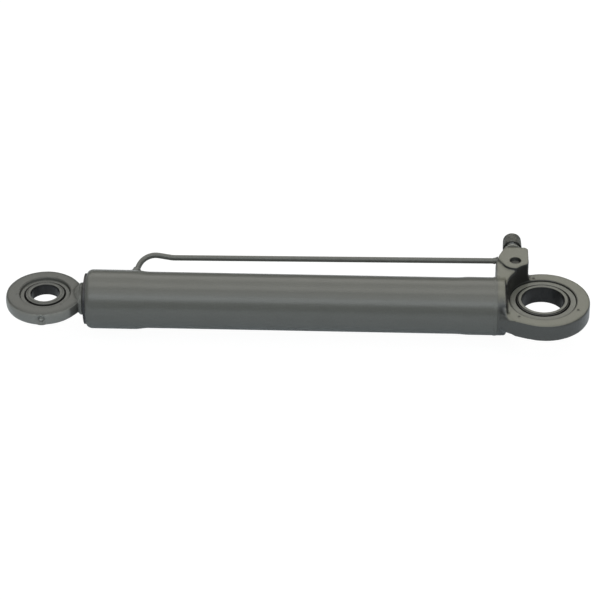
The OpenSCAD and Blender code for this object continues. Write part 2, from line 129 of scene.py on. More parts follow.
def softbox(name, azimuth, elevation, height, radiance, colour):
    """Area light that faces the object; its radiance is relative to a white card in full light."""
    data = bpy.data.lights.new(name, "AREA")
    data.shape = "RECTANGLE"
    data.size, data.size_y = SOFTBOX_WIDTH, height
    data.energy = radiance * math.pi * SOFTBOX_WIDTH * height
    data.color = colour
    back = direction(azimuth, elevation)
    light = bpy.data.objects.new(name, data)
    light.location = CAMERA_TARGET + back * SOFTBOX_DISTANCE
    light.rotation_mode = "QUATERNION"
    light.rotation_quaternion = (-back).to_track_quat("-Z", "Y")
    bpy.context.scene.collection.objects.link(light)


def make_light():
    """A tent of long softboxes from the front, over the top and down behind the cylinder."""
    cool, warm = (0.91, 0.97, 1.0), (1.0, 0.985, 0.93)
    # Name, azimuth, elevation, height, radiance, colour
    tent = [
        ("front_softbox", 180, 43, 0.8, 2.36, cool),
        ("front_top_softbox", 180, 65, 0.8, 1.24, (1.0, 1.0, 0.97)),
        ("top_softbox", 0, 88, 0.8, 1.94, warm),
        ("back_top_softbox", 0, 68, 0.8, 1.06, warm),
        ("back_softbox", 0, 40, 1.1, 1.42, warm),
    ]
    for name, azimuth, elevation, height, radiance, colour in tent:
        softbox(name, azimuth, elevation, height, radiance, colour)
    world = bpy.data.worlds.new("studio")
    world.use_nodes = True
    background = world.node_tree.nodes["Background"]
    background.inputs["Color"].default_value = (0.95, 0.97, 1.0, 1)
    background.inputs["Strength"].default_value = 0.03
    bpy.context.scene.world = world
    bpy.context.scene.view_settings.view_transform = "Standard"


def plane(name, level, colour, glow):
    """Square stage surface at a level, plain and dull, which glows white by this much."""
    side = FLOOR_HALF_SIDE
    corners = [(x * side, y * side, level) for x, y in ((-1, -1), (1, -1), (1, 1), (-1, 1))]
    mesh = bpy.data.meshes.new(name)
    mesh.from_pydata(corners, [], [(0, 1, 2, 3)])
    made = bpy.data.objects.new(name, mesh)
    bpy.context.scene.collection.objects.link(made)
    material = bpy.data.materials.new(name)
    material.use_nodes = True
    shader = material.node_tree.nodes["Principled BSDF"]
    shader.inputs["Base Color"].default_value = (*colour, 1)
    shader.inputs["Roughness"].default_value = 0.9
    shader.inputs["Specular IOR Level"].default_value = 0.0
    shader.inputs["Emission Color"].default_value = (1, 1, 1, 1)
    shader.inputs["Emission Strength"].default_value = glow
    mesh.materials.append(material)
    return made


def make_floor():
    """Plain white floor, clear of the rod eye when it turns; an unseen card below throws light up."""
    turned_reach = max(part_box("rod_eye")[1].y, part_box("grease_nipple")[1].y)
    level = min(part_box("barrel_tube")[0].z, -turned_reach) - 0.3 * MM
    floor = plane("floor", level, (0.12, 0.12, 0.12), FLOOR_GLOW)
    floor.visible_diffuse = False
    floor.visible_glossy = False
    floor.visible_shadow = False
    card = plane("bounce_card", level - MM, (0.76, 0.81, 0.87), 0.0)
    card.visible_camera = False


# --- Mesh helpers --------------------------------------------------------------------------


def solid(name, verts, faces, crease=32):
    """Object from points and faces: doubles merged, normals outwards, smooth up to the crease angle."""
    mesh = bpy.data.meshes.new(name)
    mesh.from_pydata(verts, [], faces)
    work = bmesh.new()
    work.from_mesh(mesh)
    bmesh.ops.remove_doubles(work, verts=work.verts, dist=1e-7)
    bmesh.ops.dissolve_degenerate(work, edges=work.edges, dist=1e-8)
    bmesh.ops.recalc_face_normals(work, faces=work.faces)
    work.to_mesh(mesh)
    work.free()
    mesh.shade_smooth()
    mesh.set_sharp_from_angle(angle=math.radians(crease))
    made = bpy.data.objects.new(name, mesh)
    bpy.context.scene.collection.objects.link(made)
    return made


def revolved(name, rows, place, segments=128, closed=True):
    """Solid of revolution about its own Z. A row is (radius, height) or a function of the angle."""
    verts = []
    for row in rows:
        for i in range(segments):
            a = TURN * i / segments
            r, h = row(a) if callable(row) else row
            verts.append(place @ Vector((r * math.cos(a), r * math.sin(a), h)))
    last = len(rows) if closed else len(rows) - 1
    faces = []
    for j in range(last):
        k = (j + 1) % len(rows)
        for i in range(segments):
            n = (i + 1) % segments
            faces.append((j * segments + i, j * segments + n, k * segments + n, k * segments + i))
    return solid(name, verts, faces)


def rounded(points, steps=4):
    """Outline with its corners rounded: each point is (radius, height, corner radius)."""
    out = []
    for i, (r, h, corner) in enumerate(points):
        here = Vector((r, h))
        if corner == 0:
            out.append((r, h))
            continue
        before = (Vector(points[i - 1][:2]) - here).normalized()
        after = (Vector(points[(i + 1) % len(points)][:2]) - here).normalized()
        half = before.angle(after) / 2
        centre = here + (before + after).normalized() * corner / math.sin(half)
        start = here + before * corner / math.tan(half) - centre
        end = here + after * corner / math.tan(half) - centre
        for s in range(steps + 1):
            spoke = start.lerp(end, s / steps).normalized() * corner
            out.append(tuple(centre + spoke))
    return out


def hexagon(flats, a):
    """Radius of a hexagon of this width across its flats, at angle a."""
    sixth = TURN / 6
    return flats / 2 / math.cos((a + sixth / 2) % sixth - sixth / 2)


def moved_to(place, turn=UP):
    return Matrix.Translation(place) @ turn


# --- Cast and forged parts -----------------------------------------------------------------

# How far a point moves to its neighbours' mean in one round, and how much of that a bore allows
RELAX_SHARE = 0.5
BORE_GIVE = 0.12
# Depth inside a soft box over which its wear sets in
SOFT_BOX_FADE = 4 * MM
# Sizes of the two waves in a cast skin
BROAD_WAVE = 11 * MM
FINE_WAVE = 3.4 * MM


def distance_to_axis(points, centre, axis):
    """Distance of each point from a line, and how far along the line it lies."""
    away = points - np.array(centre)
    along = away @ np.array(axis)
    return np.linalg.norm(away - along[:, None] * np.array(axis), axis=1), along


def read_vectors(items, attribute):
    """One row of three numbers for each item of a mesh collection."""
    values = np.empty(len(items) * 3)
    items.foreach_get(attribute, values)
    return values.reshape(-1, 3)


def relax(points, edges, weight, rounds):
    """Moves each point towards the mean of its neighbours, as far as its weight says."""
    size = len(points)
    first, second = edges[:, 0], edges[:, 1]
    count = np.bincount(edges.ravel(), minlength=size)
    for _ in range(rounds):
        mean = np.empty_like(points)
        for axis in range(3):
            total = np.bincount(first, points[second, axis], size)
            total += np.bincount(second, points[first, axis], size)
            mean[:, axis] = total / count
        points += weight[:, None] * (mean - points)
    return points


def hold_bore(points, weight, centre, axis, radius, low, high, reach):
    """Keeps a machined bore round and its rim crisp; low and high are measured along the axis."""
    r, along = distance_to_axis(points, centre, axis)
    near = (np.abs(r - radius) < reach) & (along > low - reach) & (along < high + reach)
    weight[near] *= BORE_GIVE


def snap_bore(points, centre, axis, radius, low, high, reach):
    """Puts a bore's wall back on its exact radius."""
    r, along = distance_to_axis(points, centre, axis)
    wall = (np.abs(r - radius) < reach) & (along > low) & (along < high)
    away = points[wall] - np.array(centre)
    flat = along[wall][:, None] * np.array(axis)
    points[wall] = np.array(centre) + flat + (away - flat) * (radius / r[wall])[:, None]


def inside_box(points, low, high, fade):
    """1 well inside a box, falling to 0 at its faces over the fade length."""
    depth = np.minimum(points - np.array(low), np.array(high) - points).min(axis=1)
    return np.clip(depth / fade, 0, 1)


def cast_copy(name, node, voxel, rounds, bores, waviness, soft_boxes=(), grow=0.0):
    """Copy of a CAD node with soft cast edges and fillets.

    A bore is (centre, axis, radius, low, high). A soft box is (low, high, rounds): edges in it
    are worn down further. The copy is fuller than the node by the grow length.
    """
    source = nodes[node].data.copy()
    work = bmesh.new()
    work.from_mesh(source)
    bmesh.ops.remove_doubles(work, verts=work.verts, dist=1e-6)
    work.to_mesh(source)
    work.free()
    source.materials.clear()
    made = bpy.data.objects.new(name, source)
    bpy.context.scene.collection.objects.link(made)
    remesh = made.modifiers.new("remesh", "REMESH")
    remesh.mode = "VOXEL"
    remesh.voxel_size = voxel
    remesh.use_smooth_shade = True
    graph = bpy.context.evaluated_depsgraph_get()
    mesh = bpy.data.meshes.new_from_object(made.evaluated_get(graph))
    made.modifiers.clear()
    made.data = mesh
    mesh.name = name

    points = read_vectors(mesh.vertices, "co")
    edges = np.empty(len(mesh.edges) * 2, np.int32)
    mesh.edges.foreach_get("vertices", edges)
    edges = edges.reshape(-1, 2)
    weight = np.full(len(points), RELAX_SHARE)
    for centre, axis, radius, low, high in bores:
        hold_bore(points, weight, centre, axis, radius, low, high, 2.2 * voxel)
    points = relax(points, edges, weight, rounds)
    for low, high, more in soft_boxes:
        points = relax(points, edges, weight * inside_box(points, low, high, SOFT_BOX_FADE), more)
    for centre, axis, radius, low, high in bores:
        snap_bore(points, centre, axis, radius, low + voxel, high - voxel, 1.2 * voxel)
    mesh.vertices.foreach_set("co", points.ravel())
    mesh.update()
    roughen(mesh, weight, waviness, grow)
    mesh.shade_smooth()
    return made


def roughen(mesh, weight, waviness, grow):
    """Uneven cast skin: two sizes of noise along the normals, held back where the part is machined."""
    points = read_vectors(mesh.vertices, "co")
    normals = read_vectors(mesh.vertex_normals, "vector")
    height = np.empty(len(points))
    for i, p in enumerate(points):
        broad = noise.noise(p / BROAD_WAVE)
        fine = noise.noise(p / FINE_WAVE)
        height[i] = (broad + 0.35 * fine) * waviness
    outward = (height * weight * 2 - waviness + grow)[:, None]
    not_machined = (weight > 0.3)[:, None]
    points += normals * outward * not_machined
    mesh.vertices.foreach_set("co", points.ravel())
    mesh.update()


# --- Materials -----------------------------------------------------------------------------


class Finish:
    """A procedural material in the making. Its textures lie in the object's own coordinates."""

    def __init__(self, name):
        self.material = bpy.data.materials.new(name)
        self.material.use_nodes = True
        self.tree = self.material.node_tree
        self.shader = self.tree.nodes["Principled BSDF"]
        texture_place = self.node("TexCoord")
        self.coordinates = texture_place.outputs["Object"]
        self.normal = texture_place.outputs["Normal"]

    def node(self, kind, **settings):
        made = self.tree.nodes.new("ShaderNode" + kind)
        for key, value in settings.items():
            setattr(made, key, value)
        return made

    def link(self, source, socket):
        self.tree.links.new(source, socket)

    def place(self, size, stretch=(1, 1, 1), centre=(0, 0, 0)):
        """Coordinates in which one unit is this size, stretched and measured from a centre."""
        mapping = self.node("Mapping")
        scale = [s / size for s in stretch]
        mapping.inputs["Scale"].default_value = scale
        mapping.inputs["Location"].default_value = [-c * s for c, s in zip(centre, scale)]
        self.link(self.coordinates, mapping.inputs["Vector"])
        return mapping.outputs["Vector"]

    def grain(self, size, detail=3.0, rough=0.55, stretch=(1, 1, 1)):
        """Noise from 0 to 1 with features of this size."""
        texture = self.node("TexNoise")
        texture.inputs["Scale"].default_value = 1.0
        texture.inputs["Detail"].default_value = detail
        texture.inputs["Roughness"].default_value = rough
        self.link(self.place(size, stretch), texture.inputs["Vector"])
        return texture.outputs["Fac"]

    def radius(self, axis, centre):
        """Distance from a line through the centre, and the distance along it."""
        apart = self.node("SeparateXYZ")
        self.link(self.place(1.0, centre=centre), apart.inputs["Vector"])
        across = [apart.outputs[i] for i in range(3) if i != axis]
        flat = self.node("CombineXYZ")
        self.link(across[0], flat.inputs[0])
        self.link(across[1], flat.inputs[1])
        length = self.node("VectorMath", operation="LENGTH")
        self.link(flat.outputs[0], length.inputs[0])
        return length.outputs["Value"], apart.outputs[axis]

    def turning(self, pitch, axis, centre=(0, 0, 0)):
        """Fine lathe marks: noise that depends only on the distance from the axis and along it."""
        radius, along = self.radius(axis, centre)
        place = self.node("CombineXYZ")
        self.link(radius, place.inputs[0])
        self.link(along, place.inputs[1])
        texture = self.node("TexNoise")
        texture.inputs["Scale"].default_value = 1 / pitch
        texture.inputs["Detail"].default_value = 2.0
        self.link(place.outputs[0], texture.inputs["Vector"])
        return texture.outputs["Fac"]

    def product(self, first, second):
        times = self.node("Math", operation="MULTIPLY")
        self.link(first, times.inputs[0])
        self.link(second, times.inputs[1])
        return times.outputs[0]

    def axis_of(self, vector, axis):
        apart = self.node("SeparateXYZ")
        self.link(vector, apart.inputs["Vector"])
        return apart.outputs[axis]

    def sum_of(self, first, second, share):
        """First value plus this share of the second."""
        total = self.node("Math", operation="MULTIPLY_ADD")
        total.inputs[1].default_value = share
        self.link(second, total.inputs[0])
        self.link(first, total.inputs[2])
        return total.outputs[0]

    def flat(self, low, high, wall=0.0, level=1.0):
        """One value on faces that look up or down, another on walls."""
        steep = self.node("Math", operation="ABSOLUTE")
        self.link(self.axis_of(self.normal, 2), steep.inputs[0])
        return self.between(steep.outputs[0], low, high, wall, level)

    def upper(self, low, high):
        """1 on faces that look up, 0 on walls and undersides, with an uneven limit."""
        ragged = self.sum_of(self.axis_of(self.normal, 2), self.grain(3 * MM, 4, 0.6), 0.3)
        return self.between(ragged, low + 0.15, high + 0.15)

    def along(self, axis, low, high):
        """0 below the first place on an axis, 1 above the second."""
        return self.between(self.axis_of(self.coordinates, axis), low, high)

    def pointed(self):
        """More than 0.5 on outer edges, less in hollows."""
        return self.node("NewGeometry").outputs["Pointiness"]

    def between(self, value, low, high, out_low=0.0, out_high=1.0):
        ramp = self.node("MapRange", interpolation_type="SMOOTHSTEP")
        limits = {"From Min": low, "From Max": high, "To Min": out_low, "To Max": out_high}
        for key, number in limits.items():
            ramp.inputs[key].default_value = number
        self.link(value, ramp.inputs["Value"])
        return ramp.outputs["Result"]

    def blend(self, factor, first, second):
        """Mix of two colours, each a socket or a plain (r, g, b)."""
        mix = self.node("Mix", data_type="RGBA")
        self.link(factor, mix.inputs["Factor"])
        for socket, colour in ((mix.inputs[6], first), (mix.inputs[7], second)):
            if isinstance(colour, tuple):
                socket.default_value = (*colour, 1)
            else:
                self.link(colour, socket)
        return mix.outputs[2]

    def blend_value(self, factor, first, second):
        mix = self.node("Mix", data_type="FLOAT")
        for socket, value in zip(mix.inputs[:1] + mix.inputs[2:4], (factor, first, second)):
            self.link(value, socket)
        return mix.outputs[0]

    def colour(self, socket):
        self.link(socket, self.shader.inputs["Base Color"])

    def roughness(self, socket):
        self.link(socket, self.shader.inputs["Roughness"])

    def bump(self, height, distance, strength=1.0):
        """Adds relief; later calls lie on top of earlier ones."""
        bump = self.node("Bump")
        bump.inputs["Distance"].default_value = distance
        bump.inputs["Strength"].default_value = strength
        self.link(height, bump.inputs["Height"])
        before = self.shader.inputs["Normal"].links
        if before:
            self.link(before[0].from_socket, bump.inputs["Normal"])
        self.link(bump.outputs["Normal"], self.shader.inputs["Normal"])

    def set(self, **numbers):
        for key, value in numbers.items():
            self.shader.inputs[key.replace("_", " ")].default_value = value


def shade_of(colour, factor):
    return tuple(c * factor for c in colour)


PAINT_ROUGHNESS = 0.285
PAINT = (0.128, 0.131, 0.120)
# Forging paint: its walls and undersides carry painted shade, its faces that look up a warm painted
# light
CAST_SHADED_WALLS = (0.078, 0.080, 0.075)
CAST_LIT_TOP = (0.166, 0.167, 0.137)
# Rod eye paint: its rim and underside carry painted light, its faces that look up painted shade
EYE_LIT_RIM = (0.230, 0.232, 0.215)
EYE_SHADED_TOP = (0.105, 0.108, 0.100)


def paint(name, colour, top=None, fade_to=None, recess_shade=None, seat=None, dirt_and_shade=(), cast=0.0, edge=0.0,
          gloss=0.5):
    """Satin grey-green paint, cloudy and finely speckled.

    Top is the tone of the faces that look up; against the walls' colour it is painted light on
    some parts and painted shade on others. Fade_to holds the places on X between which both tones
    give way to the tube's paint. A recess is (centre, radius, floor): walls this near the eye's axis
    and above its floor get painted shade. A seat is (centre, radius, share): a painted shade line
    runs round it. Each dark spot is (centre, radius, share, walls_only): dirt and painted shade in
    a staking mark, painted shade in a corner. Cast is the height of a coarse skin, whose hollows get
    painted shade, and edge is how far the outer edges are rubbed pale.
    """
    finish = Finish(name)
    # Dark tone for painted shade in the recess, seat lines, corners and staking marks, and for dirt in
    # the staking marks
    shade_and_dirt_tone = shade_of(colour, 0.2)
    clouds = finish.grain(30 * MM, 2, 0.5)
    specks = finish.between(finish.grain(1.4 * MM, 3, 0.6), 0.3, 0.7)

    def mottled(tone):
        body = finish.blend(clouds, shade_of(tone, 0.92), shade_of(tone, 1.08))
        return finish.blend(finish.between(specks, 0, 1, 0, 0.5), body, shade_of(tone, 0.86))

    coat = mottled(colour)
    # Faces that look up get their own tone: painted light on the forging, painted shade on the rod eye
    if top:
        coat = finish.blend(finish.upper(0.55, 0.9), coat, mottled(top))
    if fade_to:
        coat = finish.blend(finish.along(0, *fade_to), coat, mottled(PAINT))
    # Painted shade on the walls of the recess round the eye
    if recess_shade:
        centre, reach, floor = recess_shade
        radius, height = finish.radius(2, centre)
        inside = finish.between(radius, reach, reach + 5 * MM, 1, 0)
        near = finish.product(inside, finish.between(height, floor, floor + MM))
        coat = finish.blend(finish.product(near, finish.flat(0.55, 0.8, 0.8, 0)), coat, shade_and_dirt_tone)
    # Painted shade: a dark line round the bearing's seat
    if seat:
        centre, reach, share = seat
        line = finish.between(finish.radius(2, centre)[0], reach + 0.9 * MM, reach + 1.7 * MM, share, 0)
        coat = finish.blend(line, coat, shade_and_dirt_tone)
    # Dirt and painted shade in the staking marks; painted shade in the corners by the rod eye's neck
    for centre, reach, share, walls_only in dirt_and_shade:
        dirt_and_shade_mask = finish.between(finish.radius(2, centre)[0], reach * 0.5, reach, share, 0)
        if walls_only:
            dirt_and_shade_mask = finish.product(dirt_and_shade_mask, finish.flat(0.35, 0.75, 1, 0))
        coat = finish.blend(dirt_and_shade_mask, coat, shade_and_dirt_tone)
    # Painted shade in the hollows of the coarse cast skin
    if cast:
        hollow_shade = finish.between(finish.pointed(), 0.42, 0.485, 0.75, 0)
        coat = finish.blend(hollow_shade, coat, shade_of(colour, 0.25))
    if edge:
        rubbed = finish.between(finish.pointed(), 0.515, 0.58, 0, edge)
        coat = finish.blend(rubbed, coat, shade_of(top or colour, 1.35))
    finish.colour(coat)
    finish.bump(finish.grain(0.7 * MM, 3, 0.6), 0.012 * MM + cast * 0.5)
    if cast:
        finish.bump(finish.grain(2.6 * MM, 4, 0.6), cast)
    finish.set(Specular_IOR_Level=gloss, Roughness=PAINT_ROUGHNESS)
    return finish.material


def bearing_finish(name, centre, tone):
    """Ground bearing ring: thin overspray on its flat faces, dark greased steel on bore and sphere."""
    finish = Finish(name)
    marks = finish.turning(0.35 * MM, 2, centre)
    patches = finish.between(finish.grain(5 * MM, 4, 0.6), 0.4, 0.66)
    steel = finish.blend(marks, shade_of(tone, 0.8), shade_of(tone, 1.15))
    face = finish.blend(patches, steel, tone)
    smears = finish.between(finish.grain(4 * MM, 4, 0.6, stretch=(1, 1, 0.5)), 0.35, 0.7)
    grease = finish.blend(smears, (0.010, 0.010, 0.010), (0.022, 0.022, 0.021))
    flat = finish.flat(0.80, 0.93)
    finish.colour(finish.blend(flat, grease, face))
    finish.roughness(finish.between(finish.blend_value(flat, smears, patches), 0, 1, 0.30, 0.44))
    finish.bump(marks, 0.012 * MM)
    return finish.material


def turned_steel(name, dark, light, rough, axis, centre=(0, 0, 0)):
    """Machined steel with lathe marks about an axis and faint stains."""
    finish = Finish(name)
    marks = finish.turning(0.25 * MM, axis, centre)
    stains = finish.between(finish.grain(7 * MM, 4, 0.6), 0.35, 0.7)
    body = finish.blend(marks, dark, light)
    finish.colour(finish.blend(stains, body, shade_of(dark, 0.75)))
    finish.roughness(finish.between(stains, 0, 1, rough, rough + 0.14))
    finish.bump(marks, 0.015 * MM)
    finish.set(Metallic=0.85)
    return finish.material


def hard_chrome(name):
    """Ground and polished chrome: very fine marks round the rod and a faint haze."""
    finish = Finish(name)
    marks = finish.turning(0.12 * MM, 0)
    haze = finish.grain(14 * MM, 3, 0.5, stretch=(1, 0.4, 0.4))
    finish.colour(finish.blend(haze, (0.60, 0.61, 0.62), (0.70, 0.71, 0.72)))
    finish.roughness(finish.between(haze, 0.3, 0.7, 0.10, 0.19))
    finish.bump(marks, 0.002 * MM)
    finish.set(Metallic=1.0)
    return finish.material


def seal(name, colour, rough):
    """Moulded seal or guide material with a dull, slightly dusty skin."""
    finish = Finish(name)
    dust = finish.between(finish.grain(3 * MM, 5, 0.65), 0.4, 0.75)
    finish.colour(finish.blend(dust, colour, shade_of(colour, 1.7)))
    finish.roughness(finish.between(dust, 0, 1, rough, rough + 0.15))
    finish.bump(finish.grain(0.5 * MM, 3), 0.02 * MM)
    return finish.material


def gland_finish(name):
    """Blackened steel with paint mist on its front face, which thins out towards its rim."""
    finish = Finish(name)
    marks = finish.turning(0.25 * MM, 0)
    steel = finish.blend(marks, (0.020, 0.020, 0.021), (0.038, 0.038, 0.040))
    radius = finish.radius(0, (0, 0, 0))[0]
    ragged = finish.sum_of(radius, finish.grain(3 * MM, 3, 0.6), 1.2 * MM)
    front = finish.along(0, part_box("barrel_tube")[1].x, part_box("gland")[1].x - 0.2 * MM)
    mist = finish.product(front, finish.between(ragged, 24.0 * MM, 26.0 * MM, 1, 0))
    finish.colour(finish.blend(mist, steel, shade_of(PAINT, 0.8)))
    finish.roughness(finish.between(marks, 0, 1, 0.36, 0.46))
    finish.bump(marks, 0.015 * MM)
    return finish.material


def cap_plastic(name):
    """Dull dark screw cap with mottled overspray."""
    finish = Finish(name)
    blotches = finish.between(finish.grain(3.2 * MM, 5, 0.7), 0.38, 0.62)
    finish.colour(finish.blend(blotches, (0.040, 0.041, 0.037), (0.11, 0.112, 0.098)))
    finish.roughness(finish.between(blotches, 0, 1, 0.34, 0.5))
    finish.bump(finish.grain(1.1 * MM, 4), 0.10 * MM)
    return finish.material


# --- Pieces --------------------------------------------------------------------------------


def show(piece, body, node, material):
    """The piece stands for a CAD node, moves with its body and takes its finish from a slot."""
    piece.data.materials.clear()
    piece.data.materials.append(material)
    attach(piece, body)
    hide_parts(node)


# Half thickness of the base eye and of the rod eye, and radius of the grease nipple's spot face
SEAT_HALF_W = 10.0 * MM
ROD_EYE_HALF_T = 7.8 * MM
NIPPLE_SPOT_R = 6.0 * MM
# Cast parts: mesh size, height of the waves in the surface and height of the coarse skin
CAST_VOXEL = 0.6 * MM
CAST_WAVE = 0.10 * MM
CAST_GRAIN = 0.05 * MM
# Walls over the base eye that get painted shade: how near its axis, and from what height
RECESS_R = 51.0 * MM
RECESS_FLOOR = 10.2 * MM
# Staking marks: distance outside the bearing's seat, angles in degrees, radius of the dirt and painted
# shade in them
BASE_PUNCH_OUT = 4.6 * MM
BASE_PUNCH_ANGLES = (50, 155, 283)
ROD_PUNCH_OUT = 3.0 * MM
ROD_PUNCH_ANGLES = (9, 131, 251)
PUNCH_DIRT_AND_SHADE_R = 1.9 * MM
# G1/4 thread: pitch, depth, and points along it in one turn
G_PITCH = 1.337 * MM
G_DEPTH = 0.86 * MM
ROWS_PER_TURN = 12
# Farther out than any part of the cylinder, in metres
FAR = 1.0


def base_forging():
    """Base eye, end cap and port lug, worn most at the lug's edges and the shoulders by the tube."""
    tube_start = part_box("base_weld")[0].x
    collar_r = -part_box("base_forging")[0].z
    stud = middle("port_stud")
    port_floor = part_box("port_plug")[0].z
    bores = [
        (BASE_EYE, (0, 0, 1), half_width("base_bearing_race", 0), -SEAT_HALF_W, SEAT_HALF_W),
        ((PORT.x, PORT.y, 0), (0, 0, 1), half_width("port_plug", 0), port_floor, PORT.z),
        ((0, 0, 0), (1, 0, 0), collar_r, tube_start - 4 * MM, tube_start),
        ((stud.x, 0, stud.z), (0, -1, 0), half_width("port_stud", 0), -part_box("port_stud")[1].y,
         -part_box("stud_seal")[1].y),
    ]
    pipe = middle("pipe_lug_weld")
    eye_top = BASE_EYE.z + SEAT_HALF_W
    # Soft boxes: (low corner, high corner, rounds)
    lug_edge = (Vector((pipe.x - 9 * MM, pipe.y - 4 * MM, pipe.z - 12 * MM)),
                Vector((pipe.x + 9 * MM, pipe.y + 24 * MM, PORT.z + 2 * MM)), 50)
    wall_edge = (Vector((6 * MM, -58 * MM, eye_top + 2 * MM)),
                 Vector((46 * MM, -8 * MM, PORT.z - 2 * MM)), 60)
    shoulders = [(Vector((30 * MM, side * 36 * MM - 12 * MM, -18 * MM)),
                  Vector((60 * MM, side * 36 * MM + 12 * MM, 18 * MM)), 110) for side in (-1, 1)]
    return cast_copy("base_forging_cast", "base_forging", CAST_VOXEL, 16, bores, CAST_WAVE,
                     [lug_edge, wall_edge, *shoulders])


def rod_eye():
    """Rod eye and its neck, worn soft except at the weld end, bearing seat and nipple spot."""
    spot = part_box("grease_nipple")[1].y - 0.8 * MM
    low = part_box("rod_eye")[0].x
    bores = [
        (ROD_EYE, (0, 0, 1), half_width("rod_bearing_race", 0), -ROD_EYE_HALF_T, ROD_EYE_HALF_T),
        (ROD_EYE, (0, 1, 0), NIPPLE_SPOT_R, spot, half_width("rod_eye", 1)),
        (ROD_EYE, (-1, 0, 0), half_width("rod_eye_weld", 2), ROD_EYE.x - low - 2 * MM, ROD_EYE.x - low),
    ]
    margin = Vector((8, 8, 8)) * MM
    everywhere = (Vector((low + 4 * MM, -FAR, -FAR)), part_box("rod_eye")[1] + margin, 80)
    return cast_copy("rod_eye_forged", "rod_eye", CAST_VOXEL, 10, bores, CAST_WAVE, [everywhere])


def outer_ring(name, node, centre, sphere_r, mouth, depth, sunk):
    """Outer bearing ring: a spherical seat that opens to a chamfered mouth on both faces."""
    r, w = half_width(node, 0), half_width(node, 2) - sunk
    sweep = math.asin((w - depth) / sphere_r)
    steps = 16
    angles = [sweep - 2 * sweep * s / steps for s in range(steps + 1)]
    seat = [(sphere_r * math.cos(a), sphere_r * math.sin(a)) for a in angles]
    corners = [(r, -w, 1.4 * MM), (r, w, 1.4 * MM), (mouth, w, 0.3 * MM)]
    corners += [(*point, 0) for point in seat] + [(mouth, -w, 0.3 * MM)]
    return revolved(name, rounded(corners), moved_to(centre), 160)


def inner_ring(name, node, centre, bore_r, face_r):
    """Inner bearing ring: a sphere cut by two flat faces, with a softly broken bore edge."""
    r, w = half_width(node, 0), half_width(node, 2)
    shoulder = min(math.sqrt(r * r - face_r * face_r), w)
    sweep = math.asin(min(0.999, (shoulder - 0.9 * MM) / r))
    steps = 18
    angles = [-sweep + 2 * sweep * s / steps for s in range(steps + 1)]
    arc = [(r * math.cos(a), r * math.sin(a)) for a in angles]
    face = rounded([
        (face_r + 1.2 * MM, w - 2.2 * MM, 0), (face_r, w, 0.5 * MM), (bore_r, w, 1.1 * MM),
        (bore_r, -w, 1.1 * MM), (face_r, -w, 0.5 * MM), (face_r + 1.2 * MM, 2.2 * MM - w, 0),
    ])
    return revolved(name, face[1:-1] + arc, moved_to(centre), 160)


def weld_bead():
    """Ring of low overlapping weld ripples, nearly flush, round the joint of tube and forging."""
    low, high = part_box("base_weld")
    crown = (high.z - low.z) / 2
    swell_r = crown - 0.16 * MM
    root_r = swell_r - 2.2 * MM
    width = high.x - low.x
    ripples, ripple_height = 130, 0.14 * MM

    def crest(t):
        def row(a):
            bulge = math.sin(math.pi * t)
            phase = (a * ripples / TURN + 0.5 * bulge) % 1
            wander = 0.3 * MM * noise.noise(Vector((math.cos(a), math.sin(a), t)) * 3.0)
            rise = (0.25 + 0.75 * (1 - phase)) * bulge * ripple_height
            return swell_r + rise, low.x + width * t + wander * bulge
        return row

    buried = 0.5 * MM
    rows = [(root_r, high.x + buried), (root_r, low.x - buried), (swell_r - 0.05 * MM, low.x - buried)]
    rows += [crest(s / 10) for s in range(11)] + [(swell_r - 0.05 * MM, high.x + buried)]
    return revolved("base_weld_bead", rows, TOWARDS_X, ripples * 8)


def stud():
    """Hollow stud with a G1/4 thread on the part that stands clear of the lug."""
    low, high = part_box("port_stud")
    centre = middle("port_stud")
    r, bore = half_width("port_stud", 0), 3.4 * MM
    length = high.y - low.y
    plain = high.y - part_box("stud_seal")[0].y
    turns = (length - plain) / G_PITCH
    count = int(turns * ROWS_PER_TURN)

    def thread(s):
        h = plain + (length - plain) * s / count

        def row(a):
            phase = (h / G_PITCH - a / TURN) % 1
            tooth = 1 - abs(2 * phase - 1)
            fade = min(1, (length - h) / (1.5 * MM), (h - plain) / (1.2 * MM) + 0.001)
            return r - G_DEPTH * (1 - tooth * fade), h
        return row

    rows = [(bore, 0), (r, 0), (r, plain - 0.01 * MM)] + [thread(s) for s in range(count + 1)]
    rows += [(bore + 0.6 * MM, length), (bore, length - 0.6 * MM)]
    place = moved_to((centre.x, high.y, centre.z), TOWARDS_MINUS_Y)
    return revolved("port_stud_threaded", rows, place, 96)


def washer():
    """Bonded sealing washer: a steel ring with a rubber lip inside."""
    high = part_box("stud_seal")[1]
    centre = middle("stud_seal")
    r, t = half_width("stud_seal", 0), 2 * half_width("stud_seal", 1)
    inner = half_width("port_stud", 0)
    rows = rounded([
        (r, 0, 0.3 * MM), (r, t, 0.3 * MM),
        (inner + 1.3 * MM, t, 0.1 * MM), (inner + 1.1 * MM, t - 0.4 * MM, 0),
        (inner + 0.05 * MM, t - 0.2 * MM, 0.2 * MM), (inner + 0.05 * MM, 0, 0),
    ])
    place = moved_to((centre.x, high.y, centre.z), TOWARDS_MINUS_Y)
    return revolved("stud_bonded_washer", rows, place, 96)


